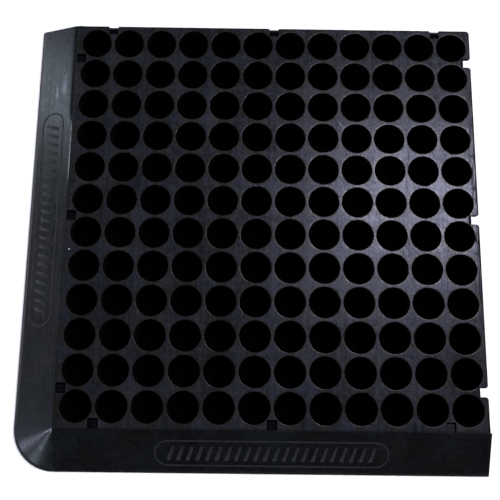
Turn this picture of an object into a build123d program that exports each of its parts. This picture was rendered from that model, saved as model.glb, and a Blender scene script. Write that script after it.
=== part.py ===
"""Perforated rubber floor tile with two bevelled edge ramps, held together by ribbed keys.

Frame: X to the right, Y to the rear, Z up. The origin is on the floor, at the middle of
the footprint. The ramps run along the left (-X) and front (-Y) sides. Millimetres.
"""
import math
import os

from build123d import *

# Tile
hole_pitch = 41.0
holes_per_side = 12
hole_diameter = 36.5
hole_rim_chamfer = 0.6
edge_margin = 4.0
thickness = 22.0
tile_size = holes_per_side * hole_pitch + 2 * edge_margin
corner_radius = 4.0
rear_lip_radius = 3.0

# Notches: three on each side, on the web lines nearest the corners and in the middle
notch_width = 11.0
notch_depth = 11.0
notch_offsets = (-5 * hole_pitch, 0, 5 * hole_pitch)
notch_end_chamfer = 1.5

# Ramps
joint_gap = 0.3
ramp_reach = 50.0
ramp_width = ramp_reach - joint_gap
foot_lip = 2.0
ramp_overhang = 1.5

# Raised badge on each ramp: a slot-shaped outline with plain slanted bars inside
badge_length = 270.0
badge_height = 32.0
badge_line = 2.0
badge_relief = 0.6
badge_sink = 0.4
badge_place = 0.53
bar_count = 22
bar_pitch = 11.0
bar_width = 4.5
bar_height = 18.0
bar_slant = -18

# Keys: the head stands in the tile's notch, the tail in the ramp's socket
key_width = 8.6
head_length = 9.2
head_foot = 1.0
rung_height = 1.4
rung_length = 1.3
rung_pitch = 2.6
rung_split = 1.6
barb_width = 9.6
barb_low = 4.0
barb_high = 12.0
socket_depth = 11.0
tail_low = 4.0
tail_high = 13.0
key_sunk = 3.0
flush_key_sunk = 0.4
flush_key_shift = 0.4

# Plugs: a ledge just inside the tile's rear edge and a lower, ribbed part behind it
ledge_width = 10.4
plug_setback = 2.2
plug_length = 8.2
plug_sunk = 0.8
ledge_length = 2.6
plug_rungs_sunk = 3.4

# Places, from the sizes above
overall_x = ramp_reach + tile_size + ramp_overhang
overall_y = ramp_reach + tile_size
tile_left = ramp_reach - overall_x / 2
tile_right = tile_left + tile_size
tile_front = ramp_reach - overall_y / 2
tile_rear = tile_front + tile_size
tile_x = (tile_left + tile_right) / 2
tile_y = (tile_front + tile_rear) / 2
ramp_inner_x = tile_left - joint_gap
ramp_inner_y = tile_front - joint_gap
slope_angle = math.degrees(math.atan2(thickness - foot_lip, ramp_width))


def notch_places(side_x, side_y, along):
    """The notch centres of one side: its line's fixed coordinate and the three places along it."""
    if along == "x":
        return [(tile_x + offset, side_y) for offset in notch_offsets]
    return [(side_x, tile_y + offset) for offset in notch_offsets]


left_notches = notch_places(tile_left, None, "y")
right_notches = notch_places(tile_right, None, "y")
front_notches = notch_places(None, tile_front, "x")
rear_notches = notch_places(None, tile_rear, "x")


def finish(builder, label):
    """Name a finished piece and write it."""
    builder.part.label = label
    export_step(builder.part, f"parts/{label}.step")


def on_right_edge(vertex):
    """True for the outline corners on the tile's right side, except at the front ramp."""
    return vertex.X > tile_right - joint_gap and vertex.Y > tile_front + joint_gap


def on_rear_edge(vertex):
    """True for the mouths of the notches on the tile's rear side."""
    inside = tile_left + joint_gap < vertex.X < tile_right - joint_gap
    return inside and vertex.Y > tile_rear - joint_gap


def at_right_notch_end(edge):
    """True for the top edge at the inner end of a notch on the tile's right side."""
    middle = edge.center()
    at_end = abs(middle.X - (tile_right - notch_depth)) < joint_gap and middle.Z > thickness - joint_gap
    return at_end and abs(edge.length - notch_width) < joint_gap


def make_tile():
    """The square tile with its holes and the notches of all four sides."""
    with BuildPart() as tile:
        with BuildSketch() as outline:
            with Locations((tile_x, tile_y)):
                Rectangle(tile_size, tile_size)
            with Locations(*left_notches, *right_notches):
                Rectangle(2 * notch_depth, notch_width, mode=Mode.SUBTRACT)
            with Locations(*front_notches, *rear_notches):
                Rectangle(notch_width, 2 * notch_depth, mode=Mode.SUBTRACT)
            fillet(outline.vertices().filter_by(on_rear_edge), rear_lip_radius)
            fillet(outline.vertices().filter_by(on_right_edge), corner_radius)
            with Locations((tile_x, tile_y)):
                with GridLocations(hole_pitch, hole_pitch, holes_per_side, holes_per_side):
                    Circle(hole_diameter / 2, mode=Mode.SUBTRACT)
        extrude(amount=thickness)
        top_arcs = tile.faces().sort_by(Axis.Z)[-1].edges().filter_by(GeomType.CIRCLE)
        chamfer(top_arcs.filter_by(lambda arc: arc.radius > corner_radius), hole_rim_chamfer)
        chamfer(tile.edges().filter_by(at_right_notch_end), notch_end_chamfer)
    finish(tile, "tile")


def ramp_section(plane):
    """The ramp's cross-section: x outwards from the inner face, y up from the floor."""
    with BuildSketch(plane) as section:
        with BuildLine():
            Polyline(
                (0, 0),
                (ramp_width, 0),
                (ramp_width, foot_lip),
                (0, thickness),
                close=True,
            )
        make_face()
    return section


def slope_plane(inner_point, outwards, along):
    """The sloping face's plane, centred on the badge, a little under the surface."""
    drop = badge_place * (thickness - foot_lip)
    centre = inner_point + outwards * (badge_place * ramp_width)
    centre = Vector(centre.X, centre.Y, thickness - drop)
    normal = outwards * math.sin(math.radians(slope_angle))
    normal = normal + Vector(0, 0, math.cos(math.radians(slope_angle)))
    return Plane(origin=centre, x_dir=along, z_dir=normal).offset(-badge_sink)


def raise_badge(plane):
    """Add the badge to the ramp that is being built."""
    with BuildSketch(plane) as badge:
        SlotOverall(badge_length, badge_height)
        SlotOverall(badge_length - 2 * badge_line, badge_height - 2 * badge_line, mode=Mode.SUBTRACT)
        with GridLocations(bar_pitch, 0, bar_count, 1):
            Rectangle(bar_width, bar_height, rotation=bar_slant)
    extrude(badge.sketch, amount=badge_sink + badge_relief)


def make_left_ramp():
    """The left strip and the quarter-cone corner that carries its section round."""
    section_plane = Plane(origin=(ramp_inner_x, ramp_inner_y, 0), x_dir=(-1, 0, 0), z_dir=(0, 1, 0))
    badge_plane = slope_plane(Vector(ramp_inner_x, tile_y, 0), Vector(-1, 0, 0), (0, -1, 0))
    with BuildPart() as ramp:
        section = ramp_section(section_plane)
        extrude(section.sketch, amount=tile_rear - ramp_inner_y)
        corner_axis = Axis((ramp_inner_x, ramp_inner_y, 0), (0, 0, 1))
        revolve(section.sketch, axis=corner_axis, revolution_arc=90)
        raise_badge(badge_plane)
        with Locations([(ramp_inner_x, y, tail_low) for _, y in left_notches]):
            Box(
                socket_depth,
                key_width,
                tail_high - tail_low,
                align=(Align.MAX, Align.CENTER, Align.MIN),
                mode=Mode.SUBTRACT,
            )
    finish(ramp, "left_ramp")


def make_front_ramp():
    """The front strip, from the corner's end face to just past the tile's right side."""
    end_x = tile_right + ramp_overhang
    section_plane = Plane(origin=(end_x, ramp_inner_y, 0), x_dir=(0, -1, 0), z_dir=(-1, 0, 0))
    badge_plane = slope_plane(Vector(tile_x, ramp_inner_y, 0), Vector(0, -1, 0), (1, 0, 0))
    with BuildPart() as ramp:
        section = ramp_section(section_plane)
        extrude(section.sketch, amount=end_x - tile_left)
        raise_badge(badge_plane)
        for x, _ in front_notches:
            shift = flush_key_shift if x > tile_x else 0
            with Locations((x - shift, ramp_inner_y, tail_low)):
                Box(
                    key_width,
                    socket_depth,
                    tail_high - tail_low,
                    align=(Align.CENTER, Align.MAX, Align.MIN),
                    mode=Mode.SUBTRACT,
                )
    finish(ramp, "front_ramp")


def add_block(x_from, x_to, width, z_from, z_to, sideways=0):
    """Add a block to the piece that is being built, centred on its local X axis or beside it."""
    with Locations((x_from, sideways, z_from)):
        Box(x_to - x_from, width, z_to - z_from, align=(Align.MIN, Align.CENTER, Align.MIN))


def ribbed_head(x_from, x_to, width, sunk):
    """A block with rungs across its top, each split in two, and, lower down, barbs at its sides."""
    body_top = thickness - sunk - rung_height
    add_block(x_from, x_to, width, head_foot, body_top)
    middle = (x_from + x_to) / 2
    rung_count = int((x_to - x_from) / rung_pitch)
    half_width = (width - rung_split) / 2
    for index in range(rung_count):
        rung_from = middle + (index - (rung_count - 1) / 2) * rung_pitch - rung_length / 2
        rung_to = rung_from + rung_length
        for side in (-1, 1):
            aside = side * (rung_split + half_width) / 2
            add_block(rung_from, rung_to, half_width, body_top, thickness - sunk, aside)
        add_block(rung_from, rung_to, barb_width, barb_low, barb_high)


def make_key(label, place, inwards, sunk, shift=0):
    """One key, its local X axis pointing into the tile from the tile's edge."""
    sideways = Vector(0, 0, 1).cross(Vector(*inwards)) * shift
    plane = Plane(origin=(place[0] + sideways.X, place[1] + sideways.Y, 0), x_dir=inwards, z_dir=(0, 0, 1))
    with BuildPart(plane) as key:
        ribbed_head(0, head_length, key_width, sunk)
        add_block(-joint_gap - socket_depth, 0, key_width, tail_low, tail_high)
    finish(key, label)


def make_plug(label, place):
    """One plug in a notch of the rear side, its local X axis pointing into the tile."""
    plane = Plane(origin=(place[0], place[1], 0), x_dir=(0, -1, 0), z_dir=(0, 0, 1))
    ledge_end = plug_setback + ledge_length
    with BuildPart(plane) as plug:
        add_block(plug_setback, ledge_end, ledge_width, head_foot, thickness - plug_sunk)
        ribbed_head(ledge_end, plug_setback + plug_length, key_width, plug_rungs_sunk)
    finish(plug, label)


os.makedirs("parts", exist_ok=True)
make_tile()
make_left_ramp()
make_front_ramp()

for side, place in zip(("front", "middle", "rear"), left_notches):
    make_key(f"left_key_{side}", place, (1, 0, 0), key_sunk)

make_key("front_key_left", front_notches[0], (0, 1, 0), key_sunk)
make_key("front_key_middle", front_notches[1], (0, 1, 0), key_sunk)
make_key("front_key_right", front_notches[2], (0, 1, 0), flush_key_sunk, flush_key_shift)

for side, place in zip(("left", "middle", "right"), rear_notches):
    make_plug(f"rear_plug_{side}", place)
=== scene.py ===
"""Looks of the perforated rubber floor tile: finer meshes, rubber materials, lights and camera.

Metres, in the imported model's frame: X to the right, Y to the rear, Z up, floor at zero.
"""

import math
import random

import bmesh
import bpy
from mathutils import Matrix, Quaternion, Vector, noise


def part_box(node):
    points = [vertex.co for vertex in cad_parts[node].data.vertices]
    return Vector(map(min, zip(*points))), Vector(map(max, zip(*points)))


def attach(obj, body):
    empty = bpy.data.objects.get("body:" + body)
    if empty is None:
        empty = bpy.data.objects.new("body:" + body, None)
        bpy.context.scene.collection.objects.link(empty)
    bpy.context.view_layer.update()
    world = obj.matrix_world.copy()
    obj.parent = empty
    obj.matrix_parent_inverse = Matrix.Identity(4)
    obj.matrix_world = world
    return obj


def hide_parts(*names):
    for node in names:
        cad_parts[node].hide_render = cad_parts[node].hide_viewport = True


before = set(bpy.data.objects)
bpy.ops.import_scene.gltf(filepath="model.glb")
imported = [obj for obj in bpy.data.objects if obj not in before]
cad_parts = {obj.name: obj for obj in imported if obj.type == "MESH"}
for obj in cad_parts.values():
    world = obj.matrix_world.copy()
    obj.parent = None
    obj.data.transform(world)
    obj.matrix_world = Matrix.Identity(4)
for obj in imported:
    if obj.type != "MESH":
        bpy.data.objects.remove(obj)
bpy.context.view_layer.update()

MM = 0.001

# Tile, from its CAD box
TILE_LOW, TILE_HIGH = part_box("tile")
TILE_MIDDLE = (TILE_LOW + TILE_HIGH) / 2
TOP = TILE_HIGH.z
HOLES_PER_SIDE = 12
EDGE_MARGIN = 4 * MM
PITCH = (TILE_HIGH.x - TILE_LOW.x - 2 * EDGE_MARGIN) / HOLES_PER_SIDE
HOLE_RADIUS = 18.25 * MM
RIM_RADIUS = 1.1 * MM
EDGE_ROUND = 1.6 * MM
JOINT_ROUND = 0.5 * MM
NOTCH_WIDTH = 11 * MM
REAR_NOTCH_WIDTH = 10.5 * MM
RIGHT_NOTCH_WIDTH = 10 * MM
NOTCH_DEPTH = 11 * MM
RIGHT_NOTCH_DEPTH = 9.4 * MM
RIGHT_LIP = 4 * MM
REAR_LIP = 3 * MM
NOTCH_PLACES = (-5 * PITCH, 0, 5 * PITCH)

# Ramps, from their CAD boxes
LEFT_LOW, LEFT_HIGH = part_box("left_ramp")
FRONT_LOW, FRONT_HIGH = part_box("front_ramp")
RAMP_WIDTH = FRONT_HIGH.y - FRONT_LOW.y
FOOT_LIP = 2 * MM
BADGE_PLACE = 0.53
BADGE_LENGTH = 270 * MM
BADGE_HEIGHT = 32 * MM

# Meshes: points round a hole, the dips of the surface, and how far a cutter stands proud
ROUND_STEPS = 48
SURFACE_DIP = 0.16 * MM
RAMP_DIP_HEIGHT = 0.3
CUTTER_REACH = 5 * MM
SHARP_ANGLE = math.radians(38)

# What counts as the same place, in a mesh and in plain arithmetic
TINY = 0.01 * MM
ROUNDING = 1e-6

# Material slots of the tile and the ramps
SURFACE_SLOT = 0
# The wall, edge and rim slots take darker rubber than the top: painted shade on the hole walls, the outer
# edges and the hole rims.
WALL_SLOT = 1
SIDE_SLOT = 2
EDGE_SLOT = 3
RIM_SLOT = 4
BADGE_SLOT = 1

# A face's slope, as the height of its normal
UPRIGHT = 0.1
STEEP = 0.8
NEARLY_LEVEL = 0.985


# ---------------------------------------------------------------- small mesh helpers

def add_object(name, bm, materials=()):
    """Turn a bmesh into an object of the scene."""
    mesh = bpy.data.meshes.new(name)
    bm.to_mesh(mesh)
    bm.free()
    for material in materials:
        mesh.materials.append(material)
    made = bpy.data.objects.new(name, mesh)
    bpy.context.scene.collection.objects.link(made)
    return made


def finish_mesh(name, bm, materials, body, node):
    """Turn a bmesh into a shown piece that stands for one CAD node."""
    bmesh.ops.recalc_face_normals(bm, faces=bm.faces)
    piece = add_object(name, bm, materials)
    smooth(piece.data)
    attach(piece, body)
    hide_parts(node)
    return piece


def smooth(mesh):
    """Shade a mesh smoothly, apart from its sharp edges."""
    mesh.shade_smooth()
    mesh.set_sharp_from_angle(angle=SHARP_ANGLE)


def dip(point):
    """How far the moulded surface lies below its flat at a point: slow, shallow waves."""
    slow = noise.noise(Vector(point) * 14)
    fast = noise.noise(Vector(point) * 45)
    return SURFACE_DIP * (0.5 + 0.35 * slow + 0.15 * fast)


def quads_between(bm, first, second, slot):
    """Close two rings of the same length with four-sided faces."""
    count = len(first)
    for k in range(count):
        ahead = (k + 1) % count
        corners = (first[k], first[ahead], second[ahead], second[k])
        bm.faces.new(corners).material_index = slot


# ---------------------------------------------------------------- tile

def hole_wobble(rng):
    """An uneven, here and there nicked hole outline: how much the radius changes with the angle."""
    waves = [(n, rng.uniform(0.02, 0.1) * MM, rng.uniform(0, math.tau)) for n in (2, 3, 5, 9, 14)]
    nick_count = rng.choice((0, 0, 1, 1, 2))
    nicks = [(rng.uniform(0, math.tau), rng.uniform(0.3, 0.9) * MM) for _ in range(nick_count)]

    def change(angle):
        waved = sum(size * math.sin(n * angle + phase) for n, size, phase in waves)
        nicked = sum(depth for place, depth in nicks if abs(angle - place) < math.radians(5))
        return waved + nicked

    return change


def cell_edge(angle, row, column):
    """The point on a hole's square cell in this direction, stretched out to the tile's edge."""
    half = PITCH / 2
    reach = half / max(abs(math.cos(angle)), abs(math.sin(angle)))
    x = reach * math.cos(angle)
    y = reach * math.sin(angle)
    last = HOLES_PER_SIDE - 1
    if column == 0 and x < -half + ROUNDING or column == last and x > half - ROUNDING:
        x += math.copysign(EDGE_MARGIN, x)
    if row == 0 and y < -half + ROUNDING or row == last and y > half - ROUNDING:
        y += math.copysign(EDGE_MARGIN, y)
    return Vector((x, y, 0))


def hole_centre(row, column):
    """Where a hole's axis meets the floor."""
    across = (column - (HOLES_PER_SIDE - 1) / 2) * PITCH
    back = (row - (HOLES_PER_SIDE - 1) / 2) * PITCH
    return Vector((TILE_MIDDLE.x + across, TILE_MIDDLE.y + back, 0))


def cell_rings(row, column, rng):
    """Rings of points from the cell's top edge, over the rim, down the hole, to its bottom edge."""
    wobble = hole_wobble(rng)
    centre = hole_centre(row, column)
    angles = [math.tau * k / ROUND_STEPS for k in range(ROUND_STEPS)]

    def ring(radius, share, height):
        points = []
        for angle in angles:
            direction = Vector((math.cos(angle), math.sin(angle), 0))
            inner = direction * (radius + wobble(angle))
            point = centre + inner.lerp(cell_edge(angle, row, column), share)
            point.z = height
            points.append(point)
        return points

    rim = HOLE_RADIUS + RIM_RADIUS
    flat = [ring(rim, share, TOP) for share in (1, 0.6, 0.25, 0)]
    rounding = []
    for turn in (14, 35, 62, 90):
        turned = math.radians(turn)
        radius = rim - RIM_RADIUS * math.sin(turned)
        rounding.append(ring(radius, 0, TOP - RIM_RADIUS * (1 - math.cos(turned))))
    wall = [ring(HOLE_RADIUS, 0, TOP * 0.5), ring(HOLE_RADIUS, 0, 0)]
    under = [ring(HOLE_RADIUS, 1, 0)]
    return flat + rounding, wall, under


def add_cell(bm, row, column, rng):
    """One hole with its square of the plate."""
    top, wall, under = cell_rings(row, column, rng)
    rings = [[bm.verts.new(point) for point in ring] for ring in top + wall + under]
    # The upper rim band takes the darker rim rubber, and the lower rounding and the wall take the
    # near-black wall rubber: painted shade.
    slots = [SURFACE_SLOT] * 4 + [RIM_SLOT] + [WALL_SLOT] * 4 + [SURFACE_SLOT]
    for first, second, slot in zip(rings, rings[1:], slots):
        quads_between(bm, first, second, slot)


def lip_arc(centre, radius, start):
    """A quarter circle's points with their directions, anticlockwise from this angle in degrees."""
    arc = []
    steps = 6
    for k in range(steps + 1):
        turn = math.radians(start + 90 * k / steps)
        direction = Vector((math.cos(turn), math.sin(turn), 0))
        arc.append((centre + direction * radius, -direction))
    return arc


def notch_cutter(bm, place, outwards, width, depth, lip, flare, end_flare):
    """A cutter for one notch, its top edges chamfered and its mouth rounded by a lip radius."""
    along = Vector((0, 0, 1)).cross(outwards)
    half = width / 2
    end_corner = Vector((half, -depth, 0))
    side = [(end_corner, Vector((1, -end_flare / flare, 0)))]
    if lip:
        side += reversed(lip_arc(Vector((half + lip, -lip, 0)), lip, 90))
    else:
        side.append((Vector((half, 0, 0)), Vector((1, 0, 0))))
    side.append((Vector((side[-1][0].x, CUTTER_REACH, 0)), Vector((0 if lip else 1, 0, 0))))
    other = [(Vector((-p.x, p.y, 0)), Vector((-d.x, d.y, 0))) for p, d in reversed(side)]

    def turned(vector):
        return along * vector.x + outwards * vector.y

    add_cutter(bm, [(place + turned(p), turned(d)) for p, d in side + other], flare)


def corner_cutter(bm, flare):
    """A cutter that rounds the tile's free corner, at the right rear."""
    corner = Vector((TILE_HIGH.x, TILE_HIGH.y, 0))
    beyond = 3 * MM
    outline = lip_arc(corner - Vector((RIGHT_LIP, RIGHT_LIP, 0)), RIGHT_LIP, 0)
    for x, y in ((-RIGHT_LIP, beyond), (beyond, beyond), (beyond, -RIGHT_LIP)):
        outline.append((corner + Vector((x, y, 0)), Vector((0, 0, 0))))
    add_cutter(bm, outline, flare)


def recess_cutter(bm, place, side):
    """A cutter for the hollow below the top beside a right notch, outside the nearest hole's wall."""
    hole_wall = 1.6 * MM
    plate = 3 * MM
    hole_in = EDGE_MARGIN + PITCH / 2
    hole_along = PITCH / 2
    outside = 1 * MM
    steps = 8
    overlap = 0.3 * MM
    start = RIGHT_NOTCH_WIDTH / 2 - overlap
    end = 17.5 * MM
    innermost = overlap - RIGHT_NOTCH_DEPTH
    outline = [(outside, start), (outside, end)]
    for k in range(steps, -1, -1):
        along = start + (end - start) * k / steps
        bulge = math.sqrt((HOLE_RADIUS + hole_wall) ** 2 - (hole_along - along) ** 2)
        outline.append((max(bulge - hole_in, innermost), along))
    rings = []
    for height in (-CUTTER_REACH, TOP - plate):
        rings.append([bm.verts.new((place.x + x, place.y + side * y, height)) for x, y in outline])
    bm.faces.new(rings[0])
    bm.faces.new(rings[1])
    quads_between(bm, rings[0], rings[1], SURFACE_SLOT)


def add_cutter(bm, outline, flare):
    """An upright prism that widens towards its top, so that it leaves a chamfer of this size."""
    rings = []
    for height, spread in ((-CUTTER_REACH, 0), (TOP - flare, 0), (TOP + flare, 2 * flare)):
        rings.append([bm.verts.new((*(p + d * spread).xy, height)) for p, d in outline])
    bm.faces.new(rings[0])
    bm.faces.new(rings[-1])
    for first, second in zip(rings, rings[1:]):
        quads_between(bm, first, second, SURFACE_SLOT)


def cut_notches(piece):
    """Cut the twelve notches, the round corner and the right notches' recesses out of the tile.

    The chamfers round the notches differ, and the one at the key that is flush is hardly there.
    """
    small = 0.7 * MM
    hardly = 0.15 * MM
    rear_flare = 0.5 * MM
    right_flare = 1.1 * MM
    right_end_flare = 2.6 * MM
    right_size = (RIGHT_NOTCH_WIDTH, RIGHT_NOTCH_DEPTH)
    to_left = Vector((-1, 0, 0))
    to_right = Vector((1, 0, 0))
    to_front = Vector((0, -1, 0))
    to_rear = Vector((0, 1, 0))
    bm = bmesh.new()
    recesses = bmesh.new()
    for place in NOTCH_PLACES:
        left = Vector((TILE_LOW.x, TILE_MIDDLE.y + place, 0))
        right = Vector((TILE_HIGH.x, TILE_MIDDLE.y + place, 0))
        front = Vector((TILE_MIDDLE.x + place, TILE_LOW.y, 0))
        rear = Vector((TILE_MIDDLE.x + place, TILE_HIGH.y, 0))
        front_flare = hardly if place > 0 else small
        notch_cutter(bm, left, to_left, NOTCH_WIDTH, NOTCH_DEPTH, 0, small, small)
        notch_cutter(bm, front, to_front, NOTCH_WIDTH, NOTCH_DEPTH, 0, front_flare, front_flare)
        notch_cutter(bm, right, to_right, *right_size, RIGHT_LIP, right_flare, right_end_flare)
        notch_cutter(bm, rear, to_rear, REAR_NOTCH_WIDTH, NOTCH_DEPTH, REAR_LIP, rear_flare, small)
        recess_cutter(recesses, right, 1)
        recess_cutter(recesses, right, -1)
    corner_cutter(bm, EDGE_ROUND)
    cut_out(piece, bm)
    cut_out(piece, recesses)


def cut_out(piece, bm):
    """Take the cutters in this bmesh out of the piece."""
    bmesh.ops.recalc_face_normals(bm, faces=bm.faces)
    cutters = add_object("cutters", bm)
    cut = piece.modifiers.new("cut", "BOOLEAN")
    cut.operation = "DIFFERENCE"
    cut.solver = "EXACT"
    cut.object = cutters
    bpy.context.view_layer.objects.active = piece
    bpy.ops.object.modifier_apply(modifier=cut.name)
    bpy.data.objects.remove(cutters)


def make_tile(materials):
    """The perforated plate: one ring mesh per hole, joined, edged, notched and slightly uneven."""
    rng = random.Random(11)
    bm = bmesh.new()
    for row in range(HOLES_PER_SIDE):
        for column in range(HOLES_PER_SIDE):
            add_cell(bm, row, column, rng)
    bmesh.ops.remove_doubles(bm, verts=bm.verts, dist=TINY)
    bmesh.ops.bridge_loops(bm, edges=[edge for edge in bm.edges if edge.is_boundary])
    for at_joint, size in ((True, JOINT_ROUND), (False, EDGE_ROUND)):
        brink = [edge for edge in bm.edges if is_brink(edge, at_joint)]
        bmesh.ops.bevel(bm, geom=brink, offset=size, segments=3, profile=0.5, affect="EDGES")
    piece = finish_mesh("tile_body", bm, materials, "tile", "tile")
    cut_notches(piece)
    for face in piece.data.polygons:
        if face.material_index == SURFACE_SLOT:
            face.material_index = outer_slot(face)
    for vertex in piece.data.vertices:
        if vertex.co.z > TOP - RIM_RADIUS * 1.01:
            vertex.co.z -= dip((vertex.co.x, vertex.co.y, 0))
    smooth(piece.data)
    return piece


def outer_slot(face):
    """The slot of one of the tile's outer faces: its top, its sides and underside, or its edges, whose
    near-black rubber is painted shade.
    """
    from_corner = face.center - TILE_LOW
    if min(from_corner.x, from_corner.y) < 1.05 * JOINT_ROUND:
        return SIDE_SLOT if abs(face.normal.z) < UPRIGHT else SURFACE_SLOT
    if face.normal.z > NEARLY_LEVEL:
        return SURFACE_SLOT
    far = TILE_HIGH - face.center
    outside = min(far.x, far.y) < TINY and face.center.z < TOP - EDGE_ROUND
    underneath = face.normal.z < -STEEP
    return SIDE_SLOT if outside or underneath else EDGE_SLOT


def is_brink(edge, at_joint):
    """True for the tile's outer top edges: the two against the ramps, or the two free ones."""
    on_top = all(abs(vertex.co.z - TOP) < ROUNDING for vertex in edge.verts)
    corner = TILE_LOW if at_joint else TILE_HIGH
    limits = [(0, corner.x), (1, corner.y)]
    return on_top and any(
        all(abs(vertex.co[axis] - limit) < ROUNDING for vertex in edge.verts) for axis, limit in limits
    )


# ---------------------------------------------------------------- ramps

def ramp_profile(inner_round, bead, crest):
    """The ramp's section as (distance outwards, height) points, from the inner foot over the top.

    A bead stands along the top edge of the slope, as high as it is given. The crest is how far
    out the slope starts to bend towards level on its way up.
    """
    foot_round = 1.2 * MM
    fall = (TOP - FOOT_LIP) / RAMP_WIDTH

    def slope_height(reach):
        bent = max(0, crest - reach)
        return TOP - fall * reach - fall * bent * bent / (2 * crest)

    top = slope_height(0)
    points = [(0, 0), (0, TOP * 0.5), (0, top - inner_round)]
    for turn in (30, 60):
        turned = math.radians(turn)
        points.append((inner_round * (1 - math.cos(turned)), top - inner_round * (1 - math.sin(turned))))
    for beyond, lift in ((0, 1), (0.6, 0.9), (1.2, 0.1), (2, 0), (3.2, 0), (4.6, 0)):
        reach = inner_round + beyond * MM
        points.append((reach, slope_height(reach) + lift * bead))
    start = points[-1][0]
    end = RAMP_WIDTH - foot_round
    slope_steps = 14
    for k in range(1, slope_steps + 1):
        reach = start + (end - start) * k / slope_steps
        points.append((reach, slope_height(reach)))
    points.append((RAMP_WIDTH - 0.4 * foot_round, FOOT_LIP - 0.2 * foot_round))
    points.append((RAMP_WIDTH, FOOT_LIP - foot_round))
    points.append((RAMP_WIDTH, 0))
    return points


def risen(value, start, length):
    """How far a value has come along a stretch: 0 up to its start, 1 from its end on."""
    return min(1, max(0, (value - start) / length))


def left_profile(y):
    """The left ramp's section at this place: a soft crest at the rear, then a bead, then crisp."""
    towards_rear = risen(y, 135 * MM, 25 * MM)
    beaded = risen(y, 60 * MM, 20 * MM) * (1 - towards_rear)
    crest = (0.4 + 5.6 * towards_rear) * MM
    return ramp_profile((0.35 + 0.35 * beaded) * MM, 0.3 * MM * beaded, crest)


def add_section(bm, origin, outwards, profile):
    """One section of the ramp, with its top a little uneven."""
    ring = []
    for reach, height in profile:
        point = origin + outwards * reach
        if height > FOOT_LIP:
            height -= dip((point.x, point.y, RAMP_DIP_HEIGHT))
        ring.append(bm.verts.new((point.x, point.y, height)))
    return ring


def sweep(bm, sections):
    """Skin a row of sections, close both ends, give the steep faces the side material, and give the faces
    at the foot the near-black edge material, painted shade.
    """
    for first, second in zip(sections, sections[1:]):
        quads_between(bm, first, second, SURFACE_SLOT)
    bm.faces.new(sections[0])
    bm.faces.new(sections[-1])
    bmesh.ops.remove_doubles(bm, verts=bm.verts, dist=TINY)
    bmesh.ops.dissolve_degenerate(bm, edges=bm.edges, dist=TINY / 2)
    bmesh.ops.recalc_face_normals(bm, faces=bm.faces)
    for face in bm.faces:
        # Faces at the foot take the near-black edge material: painted shade as a dark outline.
        at_foot = face.calc_center_median().z < FOOT_LIP + 0.2 * MM
        if at_foot and face.normal.z > -0.5:
            face.material_index = EDGE_SLOT
        elif face.normal.z < STEEP:
            face.material_index = SIDE_SLOT


def badge_frame(inner_middle, outwards):
    """Where the badge lies: x along the ramp, y up the slope, z out of it."""
    slope = math.atan2(TOP - FOOT_LIP, RAMP_WIDTH)
    normal = outwards * math.sin(slope) + Vector((0, 0, math.cos(slope)))
    upslope = -outwards * math.cos(slope) + Vector((0, 0, math.sin(slope)))
    along = upslope.cross(normal)
    centre = inner_middle + outwards * (BADGE_PLACE * RAMP_WIDTH)
    centre.z = TOP - BADGE_PLACE * (TOP - FOOT_LIP)
    axes = Matrix((along, upslope, normal)).transposed().to_4x4()
    return Matrix.Translation(centre) @ axes


def add_badge(bm, place):
    """A raised slot-shaped outline with plain slanted bars inside."""
    relief = 0.55 * MM
    sunk = -0.5 * MM
    line = 1.0 * MM
    end_steps = 24
    radius = BADGE_HEIGHT / 2 - line
    straight = BADGE_LENGTH / 2 - BADGE_HEIGHT / 2
    rings = []
    for side in (1, -1):
        for k in range(end_steps + 1):
            turn = math.radians(-90 + 180 * k / end_steps)
            outer = Vector((side * math.cos(turn), side * math.sin(turn), 0))
            middle = Vector((side * straight, 0, 0)) + outer * radius
            ring = []
            for across, height in ((-1, sunk), (-0.8, 0.6), (-0.3, 1), (0.3, 1), (0.8, 0.6), (1, sunk)):
                lift = height * relief if height > 0 else height
                ring.append(bm.verts.new(place @ (middle + outer * across * line + Vector((0, 0, lift)))))
            rings.append(ring)
    for k, ring in enumerate(rings):
        quads_between(bm, ring, rings[(k + 1) % len(rings)], BADGE_SLOT)
    bar_count = 22
    bar_pitch = 11 * MM
    for k in range(bar_count):
        along = (k - (bar_count - 1) / 2) * bar_pitch
        add_bar(bm, place @ Matrix.Translation((along, 0, 0)), relief, sunk)


def add_bar(bm, place, relief, sunk):
    """One slanted bar of the badge, with chamfered sides."""
    half_width = 2.25 * MM
    half_height = 9 * MM
    slant = math.tan(math.radians(18))
    rings = []
    for inset, height in ((0, sunk), (0.15 * MM, 0.5 * relief), (0.6 * MM, relief)):
        ring = []
        for side_x, side_y in ((-1, -1), (1, -1), (1, 1), (-1, 1)):
            y = side_y * (half_height - inset)
            x = side_x * (half_width - inset) + y * slant
            ring.append(bm.verts.new(place @ Vector((x, y, height))))
        rings.append(ring)
    for first, second in zip(rings, rings[1:]):
        quads_between(bm, first, second, SURFACE_SLOT)
    bm.faces.new(rings[0])
    bm.faces.new(rings[-1]).material_index = BADGE_SLOT


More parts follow.
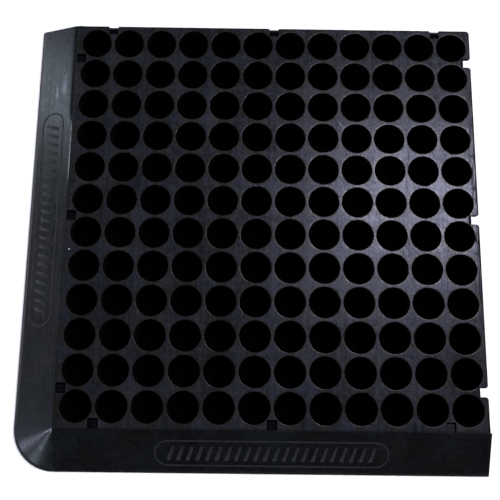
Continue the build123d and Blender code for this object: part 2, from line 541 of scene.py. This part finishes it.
def make_left_ramp(materials):
    """The left strip, then its section turned round the corner in a quarter cone."""
    inner_x = LEFT_HIGH.x
    corner_y = LEFT_LOW.y + RAMP_WIDTH
    straight_steps = 100
    corner_steps = 30
    bm = bmesh.new()
    sections = []
    for k in range(straight_steps + 1):
        y = LEFT_HIGH.y + (corner_y - LEFT_HIGH.y) * k / straight_steps
        sections.append(add_section(bm, Vector((inner_x, y, 0)), Vector((-1, 0, 0)), left_profile(y)))
    for k in range(1, corner_steps + 1):
        turn = math.radians(180 + 90 * k / corner_steps)
        outwards = Vector((math.cos(turn), math.sin(turn), 0))
        apex = Vector((inner_x, corner_y, 0))
        sections.append(add_section(bm, apex, outwards, left_profile(corner_y)))
    sweep(bm, sections)
    add_badge(bm, badge_frame(Vector((inner_x, TILE_MIDDLE.y, 0)), Vector((-1, 0, 0))))
    return finish_mesh("left_ramp_body", bm, materials, "left_ramp", "left_ramp")


def make_front_ramp(materials):
    """The front strip."""
    profile = ramp_profile(0.3 * MM, 0.05 * MM, 0.4 * MM)
    inner_y = FRONT_HIGH.y
    steps = 100
    bm = bmesh.new()
    sections = []
    for k in range(steps + 1):
        x = FRONT_HIGH.x + (FRONT_LOW.x - FRONT_HIGH.x) * k / steps
        sections.append(add_section(bm, Vector((x, inner_y, 0)), Vector((0, -1, 0)), profile))
    sweep(bm, sections)
    add_badge(bm, badge_frame(Vector((TILE_MIDDLE.x, inner_y, 0)), Vector((0, -1, 0))))
    return finish_mesh("front_ramp_body", bm, materials, "front_ramp", "front_ramp")


# ---------------------------------------------------------------- materials

class Graph:
    """A material's nodes, added and linked in one call each."""

    def __init__(self, name):
        self.material = bpy.data.materials.new(name)
        self.material.use_nodes = True
        self.tree = self.material.node_tree
        self.shader = self.tree.nodes["Principled BSDF"]
        self.place = self.add("ShaderNodeTexCoord").outputs["Object"]

    def add(self, kind, inputs=None, **settings):
        """A new node with these inputs, each a value or another node's output."""
        node = self.tree.nodes.new(kind)
        for key, value in settings.items():
            setattr(node, key, value)
        for key, value in (inputs or {}).items():
            self.give(node.inputs[key], value)
        return node

    def give(self, socket, value):
        if isinstance(value, bpy.types.NodeSocket):
            self.tree.links.new(value, socket)
        else:
            socket.default_value = value

    def noise(self, size, detail=3, roughness=0.5, place=None):
        """Noise with features of about this size in metres."""
        found = self.add(
            "ShaderNodeTexNoise",
            {"Vector": place or self.place, "Scale": 1 / size, "Detail": detail, "Roughness": roughness},
        )
        return found.outputs["Fac"]

    def streaks(self, length, width, turn, detail=3, roughness=0.55):
        """Noise drawn out into streaks of this length and width, turned from the X axis in degrees."""
        turned = self.add(
            "ShaderNodeMapping",
            {
                "Vector": self.place,
                "Rotation": (0, 0, math.radians(turn)),
                "Scale": (length, width, width),
            },
            vector_type="TEXTURE",
        )
        return self.noise(1, detail, roughness, turned.outputs[0])

    def marks(self, kinds, low, high):
        """Thin straight marks of several kinds, each a length, a width and a turn."""
        found = None
        for length, width, turn in kinds:
            more = self.between(self.streaks(length * MM, width * MM, turn), low, high)
            found = self.math("MAXIMUM", found, more) if found else more
        return found

    def dots(self, spacing, radius, share):
        """Small round dots, in this share of the cells of this spacing."""
        cells = self.add("ShaderNodeTexVoronoi", {"Vector": self.place, "Scale": 1 / spacing})
        dot = self.between(cells.outputs["Distance"], radius / spacing, 0.6 * radius / spacing)
        chosen = self.add("ShaderNodeSeparateColor", {0: cells.outputs["Color"]}).outputs[0]
        return self.math("MULTIPLY", dot, self.math("LESS_THAN", chosen, share))

    def blob(self, centre, half_length, half_width):
        """A soft oval spot, long along Y: 1 at its centre, 0 outside."""
        moved = self.add(
            "ShaderNodeMapping",
            {"Vector": self.place, "Location": centre, "Scale": (half_width, half_length, 1)},
            vector_type="TEXTURE",
        )
        distance = self.length(moved.outputs[0])
        return self.between(distance, 1, 0.2)

    def vector(self, operation, first, second):
        return self.add("ShaderNodeVectorMath", {0: first, 1: second}, operation=operation).outputs[0]

    def length(self, vector):
        return self.add("ShaderNodeVectorMath", {0: vector}, operation="LENGTH").outputs["Value"]

    def hole_distance(self):
        """How far a point is from the axis of the nearest hole."""
        corner = Vector((TILE_LOW.x + EDGE_MARGIN, TILE_LOW.y + EDGE_MARGIN, 0))
        cells = self.vector("DIVIDE", self.vector("SUBTRACT", self.place, corner), (PITCH, PITCH, 1))
        inside = self.add("ShaderNodeVectorMath", {0: cells}, operation="FRACTION").outputs[0]
        offset = self.vector("MULTIPLY", self.vector("SUBTRACT", inside, (0.5, 0.5, 0)), (PITCH, PITCH, 0))
        return self.length(offset)

    def coordinate(self, axis):
        return self.add("ShaderNodeSeparateXYZ", {0: self.place}).outputs[axis]

    def spot(self, centre, half_size, turn=0):
        """A sharp-edged small oval: 1 inside, 0 outside."""
        moved = self.add(
            "ShaderNodeMapping",
            {
                "Vector": self.place,
                "Location": centre,
                "Rotation": (0, 0, math.radians(turn)),
                "Scale": (*half_size, 20 * MM),
            },
            vector_type="TEXTURE",
        )
        distance = self.length(moved.outputs[0])
        return self.between(distance, 1, 0.6)

    def between(self, value, low, high, to_low=0.0, to_high=1.0):
        """The value, stretched so that low to high becomes to_low to to_high."""
        found = self.add("ShaderNodeMapRange", {
            "Value": value, "From Min": low, "From Max": high, "To Min": to_low, "To Max": to_high,
        })
        return found.outputs["Result"]

    def math(self, operation, first, second):
        return self.add("ShaderNodeMath", {0: first, 1: second}, operation=operation).outputs[0]

    def mix(self, share, first, second):
        found = self.add("ShaderNodeMix", data_type="RGBA")
        self.give(found.inputs[0], share)
        self.give(found.inputs[6], first)
        self.give(found.inputs[7], second)
        return found.outputs[2]

    def bump(self, height, depth, normal=None):
        found = self.add("ShaderNodeBump", {"Height": height, "Distance": depth, "Strength": 1.0})
        if normal:
            self.give(found.inputs["Normal"], normal)
        return found.outputs["Normal"]


def pale(colour, times):
    """A colour made this many times as bright, with its alpha."""
    return tuple(times * channel for channel in colour) + (1,)


def rubber(name, dark, paler, shiny, dull, turn, brushed_share=0.25, rubs=(), marked=1.0, uneven=0.06):
    """Moulded black rubber: dusty clouds, lengthwise wiping marks, scratches, specks and a fine grain.

    The roughness runs from shiny to dull with the same clouds. A rub is a polished oval spot.
    The unevenness is in millimetres. Returns the graph, with the colour and the roughness made.
    """
    g = Graph(name)
    patches = g.noise(60 * MM, detail=4)
    mottle = g.noise(7 * MM, detail=6, roughness=0.65)
    brushed = g.streaks(60 * MM, 3 * MM, turn, detail=4)
    still_share = (1 - brushed_share) / 2
    cloud = g.math(
        "ADD",
        g.math("MULTIPLY", g.math("ADD", patches, mottle), still_share),
        g.math("MULTIPLY", brushed, brushed_share),
    )
    light_marks = g.marks([(60, 0.8, -58), (45, 0.8, 12)], 0.68, 0.76)
    dull_marks = g.marks([(30, 1.1, -60), (45, 1.1, 84), (18, 1, -30)], 0.6, 0.72)
    specks = g.dots(11 * MM, 0.45 * MM, 0.25 * marked)

    bluish = tuple(channel * tint for channel, tint in zip(paler, (0.75, 0.9, 1.15)))
    tinted = g.mix(g.between(g.noise(35 * MM, detail=3), 0.42, 0.62), pale(paler, 1), pale(bluish, 1))
    colour = g.mix(g.between(cloud, 0.4, 0.62), pale(dark, 1), tinted)
    colour = g.mix(g.math("MULTIPLY", light_marks, 0.5 * marked), colour, pale(paler, 2.5))
    colour = g.mix(g.math("MULTIPLY", specks, 0.6), colour, pale(paler, 5))
    g.give(g.shader.inputs["Base Color"], colour)

    rough = g.between(cloud, 0.38, 0.64, shiny, dull)
    for rub in rubs:
        rough = g.math("SUBTRACT", rough, g.math("MULTIPLY", g.blob(*rub), 0.08))
    rough = g.math("ADD", rough, g.math("MULTIPLY", dull_marks, 0.28 * marked))
    g.give(g.shader.inputs["Roughness"], rough)

    soft = g.bump(g.math("ADD", mottle, g.math("MULTIPLY", brushed, brushed_share)), uneven * MM)
    grain = g.noise(0.9 * MM, detail=3)
    fine = g.bump(g.math("SUBTRACT", grain, g.math("MULTIPLY", light_marks, marked)), 0.008 * MM, soft)
    g.give(g.shader.inputs["Normal"], fine)
    g.shader.inputs["Specular IOR Level"].default_value = 0.5
    return g, colour, rough


def plate_rubber(name, dark, paler, shiny, dull):
    """The tile's top: browner and shinier round the holes, and worn along its right edge."""
    g, colour, rough = rubber(name, dark, paler, shiny, dull, turn=90, uneven=0.09)
    away = g.between(g.hole_distance(), HOLE_RADIUS + 0.5 * MM, HOLE_RADIUS + 7 * MM)
    blotches = g.noise(16 * MM, detail=4, roughness=0.6)
    beyond = g.between(g.math("ADD", away, blotches), 0.4, 1.1)
    colour = g.mix(beyond, g.mix(0.6, colour, (0.0075, 0.0058, 0.002, 1)), colour)
    shine = g.mix(beyond, (1.3, 1.2, 1.02, 1), (1, 1, 1, 1))
    g.give(g.shader.inputs["Specular Tint"], shine)

    near_edge = g.between(g.coordinate("X"), TILE_HIGH.x - 14 * MM, TILE_HIGH.x - 5 * MM)
    grooves = g.between(g.streaks(30 * MM, 1.2 * MM, 87, detail=4), 0.5, 0.62)
    wear = g.math("MULTIPLY", near_edge, grooves)
    colour = g.mix(g.math("MULTIPLY", wear, 0.8), colour, (0.001, 0.001, 0.0012, 1))
    rough = g.math("ADD", rough, g.math("MULTIPLY", wear, 0.45))

    nick = g.spot((-219.9 * MM, -17 * MM, TOP), (0.9 * MM, 0.9 * MM))
    tick = g.spot((3.2 * MM, 64.5 * MM, TOP), (0.5 * MM, 2 * MM), 20)
    score = g.spot((108 * MM, 145 * MM, TOP), (0.6 * MM, 7 * MM), 35)
    tear = g.spot((268.5 * MM, 0.5 * MM, TOP), (1.8 * MM, 4 * MM), 20)
    colour = g.mix(nick, colour, (0.6, 0.6, 0.62, 1))
    colour = g.mix(g.math("MAXIMUM", tick, score), colour, (0.13, 0.13, 0.14, 1))
    colour = g.mix(tear, colour, (0.012, 0.002, 0.004, 1))
    g.give(g.shader.inputs["Base Color"], colour)
    g.give(g.shader.inputs["Roughness"], g.math("ADD", rough, g.math("MULTIPLY", tear, 0.4)))
    return g.material


def beaded_rubber(name, *looks, **more_looks):
    """The left ramp's rubber, with painted highlights: a pale stripe along the short bead and two pale
    glints running out from the apex of the corner's cone.
    """
    g, colour, _ = rubber(name, *looks, **more_looks)
    across = g.coordinate("X")
    along = g.coordinate("Y")
    edge = LEFT_HIGH.x
    glint_stripe = g.math(
        "MULTIPLY",
        g.between(across, edge - 1.9 * MM, edge - 1.2 * MM),
        g.between(across, edge - 0.2 * MM, edge - 0.6 * MM),
    )
    ends = g.math(
        "MULTIPLY", g.between(along, 68 * MM, 82 * MM), g.between(along, 146 * MM, 134 * MM)
    )
    patchy = g.between(g.noise(5 * MM, detail=3), 0.35, 0.6, 0.35, 1)
    share = g.math("MULTIPLY", g.math("MULTIPLY", glint_stripe, ends), patchy)
    apex = Vector((LEFT_HIGH.x, LEFT_LOW.y + RAMP_WIDTH, TOP))
    for turn, half_length in ((209, 6 * MM), (246, 3.5 * MM)):
        towards = Vector((math.cos(math.radians(turn)), math.sin(math.radians(turn)), 0))
        apex_glint = g.spot(apex + towards * half_length, (half_length, 0.55 * MM), turn)
        share = g.math("MAXIMUM", share, apex_glint)
    # Painted highlight: the stripe along the bead and the two glints at the cone's apex are painted pale
    # into the colour.
    g.give(g.shader.inputs["Base Color"], g.mix(share, colour, (0.2, 0.22, 0.25, 1)))
    return g.material


def mottled_rubber(name, dark, paler, specular, roughness, size, turn=0):
    """Plainer rubber with mottles of this size, for walls, edges, rims and raised faces."""
    g = Graph(name)
    mottle = g.noise(size, detail=5, roughness=0.6)
    marks = g.streaks(30 * size / 6, size / 6, turn)
    cloud = g.math("MULTIPLY", g.math("ADD", mottle, marks), 0.5)
    colour = g.mix(g.between(cloud, 0.4, 0.62), pale(dark, 1), pale(paler, 1))
    g.give(g.shader.inputs["Base Color"], colour)
    g.give(g.shader.inputs["Roughness"], g.between(cloud, 0.4, 0.62, roughness, roughness + 0.15))
    g.shader.inputs["Specular IOR Level"].default_value = specular
    g.give(g.shader.inputs["Normal"], g.bump(cloud, 0.12 * MM))
    return g.material


def ribbed_rubber(name, dark, paler, flush):
    """The keys and plugs, with painted shade that goes by height: black down between their rungs, paler on
    top of them, and paler still at the plate's level, where a key is flush.
    """
    g = Graph(name)
    height = g.coordinate("Z")
    mottle = g.noise(2.5 * MM, detail=5, roughness=0.65)
    crown = g.between(height, TOP - 4.6 * MM, TOP - 3.2 * MM)
    # Painted light and shade: the rung tops are paler, the grooves below them black.
    lit_rung_tops = g.math("MULTIPLY", crown, g.between(mottle, 0.35, 0.6, 0.4, 1))
    at_top = g.between(height, TOP - 1.8 * MM, TOP - 1 * MM)
    colour = g.mix(lit_rung_tops, pale(dark, 1), pale(paler, 1))
    g.give(g.shader.inputs["Base Color"], g.mix(at_top, colour, pale(flush, 1)))
    g.give(g.shader.inputs["Roughness"], g.between(at_top, 0, 1, 0.7, 0.4))
    g.shader.inputs["Specular IOR Level"].default_value = 0.2
    g.give(g.shader.inputs["Normal"], g.bump(mottle, 0.08 * MM))
    return g.material


def plain(name, colour, roughness, specular=0.5):
    """One even colour, for what isn't part of the object."""
    g = Graph(name)
    g.shader.inputs["Base Color"].default_value = (*colour, 1)
    g.shader.inputs["Roughness"].default_value = roughness
    g.shader.inputs["Specular IOR Level"].default_value = specular
    return g.material


# ---------------------------------------------------------------- stage, lights, camera

def joining_pieces():
    """The names of the keys and plugs."""
    return [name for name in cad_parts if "key" in name or "plug" in name]


def make_sheet(name, low, high, height, material):
    """A flat rectangle that isn't part of the object."""
    bm = bmesh.new()
    corners = [(low[0], low[1]), (high[0], low[1]), (high[0], high[1]), (low[0], high[1])]
    bm.faces.new([bm.verts.new((x, y, height)) for x, y in corners])
    add_object(name, bm, [material])


def make_shade_underlay(material):
    """Painted shade: dark patches on the floor under the holes and round the keys, so that the holes and
    the gaps round the keys read black from above.
    """
    height = 0.1 * MM
    radius = HOLE_RADIUS + 1 * MM
    key_gap = 1.2 * MM
    bm = bmesh.new()
    for row in range(HOLES_PER_SIDE):
        for column in range(HOLES_PER_SIDE):
            disc = Matrix.Translation(hole_centre(row, column) + Vector((0, 0, height)))
            bmesh.ops.create_circle(bm, cap_ends=True, segments=ROUND_STEPS, radius=radius, matrix=disc)
    for name in joining_pieces():
        low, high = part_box(name)
        around = 0 if "plug" in name else key_gap
        front = low.y - around
        rear = high.y + around
        corners = [(low.x, front), (high.x, front), (high.x, rear), (low.x, rear)]
        side = Vector((key_gap, 0))
        outwards = [-side, side, side, -side]
        bm.faces.new([bm.verts.new((*(Vector(c) + o), height)) for c, o in zip(corners, outwards)])
    add_object("painted_shade_underlay", bm, [material])


def soft_light(name, azimuth, elevation, distance, size, radiance, colour, aim, spin=0):
    """A soft panel, seen from the aim point at this azimuth and elevation, and spun in its plane."""
    data = bpy.data.lights.new(name, "AREA")
    data.shape = "RECTANGLE"
    data.size, data.size_y = size
    data.energy = radiance * math.pi * size[0] * size[1]
    data.color = colour
    turn = math.radians(azimuth)
    rise = math.radians(elevation)
    towards = Vector((math.cos(rise) * math.cos(turn), math.cos(rise) * math.sin(turn), math.sin(rise)))
    lamp = bpy.data.objects.new(name, data)
    lamp.location = Vector(aim) + towards * distance
    facing = towards.to_track_quat("Z", "Y") @ Quaternion((0, 0, 1), math.radians(spin))
    lamp.rotation_euler = facing.to_euler()
    bpy.context.scene.collection.objects.link(lamp)


def make_lights():
    """A sun for the matt faces, soft panels for the sheen, and low panels for the sides."""
    teal = (0.69, 0.83, 1.0)
    lavender = (0.72, 0.73, 1.0)
    sun = bpy.data.lights.new("sun", "SUN")
    sun.energy = 4.6
    sun.angle = math.radians(40)
    lamp = bpy.data.objects.new("sun", sun)
    lamp.visible_glossy = False
    lamp.rotation_euler = Vector((0.75, 0.35, 0.7)).to_track_quat("Z", "Y").to_euler()
    bpy.context.scene.collection.objects.link(lamp)
    top_spot = (0.21, 0.06, TOP)
    left_middle = (LEFT_LOW.x, 0.17, 0)
    corner = (LEFT_HIGH.x, LEFT_LOW.y + RAMP_WIDTH, 0)
    soft_light("overhead", 48, 70, 2.0, (0.58, 0.48), 13.5, lavender, top_spot, 42)
    soft_light("left_rear", 153, 28, 2.0, (0.18, 0.4), 10, teal, left_middle)
    soft_light("left_front", 204.5, 30, 2.0, (0.25, 0.45), 8.5, lavender, corner)
    soft_light("front_left", 224.5, 34, 2.0, (0.14, 0.45), 11, teal, corner)
    soft_light("corner_fill", 187, 30, 2.0, (0.25, 0.4), 1.4, teal, corner)
    low_lights = (("right", -12, 5), ("rear", 78, 5), ("front", 282, 0.6), ("left", 168, 1.8))
    for side, azimuth, radiance in low_lights:
        soft_light(f"{side}_low", azimuth, 13, 2.5, (1.6, 0.5), radiance, (1, 1, 1), TILE_MIDDLE)


def make_world():
    """Pale near the horizon, and dark above, so that little but the lights is reflected."""
    world = bpy.data.worlds.new("studio")
    bpy.context.scene.world = world
    world.use_nodes = True
    tree = world.node_tree
    background = tree.nodes["Background"]
    place = tree.nodes.new("ShaderNodeTexCoord")
    split = tree.nodes.new("ShaderNodeSeparateXYZ")
    blend = tree.nodes.new("ShaderNodeMapRange")
    blend.inputs["From Min"].default_value = 0.1
    blend.inputs["From Max"].default_value = 0.3
    blend.inputs["To Min"].default_value = 0.85
    blend.inputs["To Max"].default_value = 0.05
    tree.links.new(place.outputs["Generated"], split.inputs[0])
    tree.links.new(split.outputs["Z"], blend.inputs["Value"])
    tree.links.new(blend.outputs["Result"], background.inputs["Strength"])
    background.inputs["Color"].default_value = (0.95, 0.97, 1.0, 1)


def make_camera():
    """The photograph's viewpoint: steeply from above, a little from the front."""
    data = bpy.data.cameras.new("camera")
    data.lens = 50.8
    data.sensor_width = 36
    data.clip_start = 0.01
    data.dof.use_dof = False
    camera = bpy.data.objects.new("camera", data)
    place = Vector((-0.0067, -0.1855, 0.8506))
    forward = Vector((0.0041, 0.2011, -0.9796)).normalized()
    up = Vector((-0.0129, 0.9795, 0.2010))
    right = forward.cross(up).normalized()
    up = right.cross(forward)
    turned = Matrix((right, up, -forward)).transposed()
    camera.matrix_world = Matrix.Translation(place) @ turned.to_4x4()
    bpy.context.scene.collection.objects.link(camera)
    bpy.context.scene.camera = camera


# ---------------------------------------------------------------- the scene

tile_rubber = plate_rubber(
    "tile_rubber", (0.005, 0.0051, 0.0068), (0.0145, 0.0148, 0.0195), shiny=0.16, dull=0.36
)
ramp_rubber = beaded_rubber(
    "ramp_rubber",
    (0.003, 0.0036, 0.0046),
    (0.009, 0.0105, 0.0132),
    shiny=0.22,
    dull=0.32,
    turn=90,
    brushed_share=0.35,
    rubs=(((-0.24, 0.194, 0), 20 * MM, 4 * MM), ((-0.25, 0.187, 0), 12 * MM, 3 * MM)),
    marked=0.25,
    uneven=0.015,
)
# Painted shade: the front ramp's rubber is made darker than the left ramp's, for the shade the front ramp
# lies in.
shaded_front_rubber = rubber(
    "shaded_front_rubber",
    (0.0015, 0.0019, 0.0023),
    (0.0038, 0.0046, 0.0053),
    shiny=0.2,
    dull=0.34,
    turn=0,
    brushed_share=0.15,
    marked=0.4,
    uneven=0.02,
)[0].material
# Painted shade: the hole walls and the lower rim rounding, the same rubber as the top, are made near
# black.
hole_wall = mottled_rubber(
    "hole_wall_rubber",
    (0.0006, 0.0006, 0.0008),
    (0.0015, 0.0015, 0.0018),
    specular=0.03,
    roughness=0.8,
    size=5 * MM,
)
side_rubber = mottled_rubber(
    "side_rubber",
    (0.003, 0.003, 0.0036),
    (0.009, 0.009, 0.0105),
    specular=0.35,
    roughness=0.42,
    size=6 * MM,
)
# Painted shade: the bevelled and chamfered edges, the notch walls and the ramps' foot faces are made near
# black, as a dark outline.
edge_rubber = mottled_rubber(
    "edge_rubber",
    (0.0008, 0.0008, 0.001),
    (0.002, 0.002, 0.0024),
    specular=0.05,
    roughness=0.6,
    size=5 * MM,
)
# Painted shade: the upper rim rounding round each hole is made darker and duller than the top.
rim_rubber = mottled_rubber(
    "rim_rubber",
    (0.0015, 0.0015, 0.002),
    (0.005, 0.005, 0.0065),
    specular=0.2,
    roughness=0.4,
    size=4 * MM,
)
flush_rubber = mottled_rubber(
    "flush_rubber",
    (0.005, 0.005, 0.0065),
    (0.012, 0.012, 0.0155),
    specular=0.4,
    roughness=0.4,
    size=3 * MM,
)
# Painted shade: a darker copy of the badge rubber, for the front ramp's badge.
shaded_front_badge = mottled_rubber(
    "shaded_front_badge",
    (0.006, 0.0062, 0.0076),
    (0.015, 0.0155, 0.0185),
    specular=0.4,
    roughness=0.45,
    size=3 * MM,
)
badge_rubber = mottled_rubber(
    "badge_rubber",
    (0.009, 0.0095, 0.0115),
    (0.022, 0.023, 0.027),
    specular=0.4,
    roughness=0.45,
    size=3 * MM,
    turn=90,
)
# Painted shade: the sunk keys and plugs are made near black, darkest between the rungs.
key_rubber = ribbed_rubber(
    "key_rubber", (0.0004, 0.0004, 0.0006), (0.0036, 0.0036, 0.005), flush=(0.009, 0.009, 0.0115)
)

make_tile([tile_rubber, hole_wall, side_rubber, edge_rubber, rim_rubber])
make_left_ramp([ramp_rubber, badge_rubber, side_rubber, edge_rubber])
make_front_ramp([shaded_front_rubber, shaded_front_badge, side_rubber, edge_rubber])

# The flush key takes the paler flush rubber and the sunk ones take the darker key rubber, painted shade of
# their pockets.
for node_name in joining_pieces():
    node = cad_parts[node_name]
    node.data.materials.clear()
    node.data.materials.append(flush_rubber if node_name == "front_key_right" else key_rubber)

make_sheet("floor", (-12, -12), (12, 12), 0, plain("pale_floor", (0.9, 0.9, 0.9), 0.7))
# Painted shade: dark patches under the holes and in the gaps round the keys.
make_shade_underlay(plain("painted_shade_underlay", (0.0005, 0.0005, 0.0005), 1.0, 0.0))
make_lights()
make_world()
make_camera()
bpy.context.scene.view_settings.view_transform = "Standard"
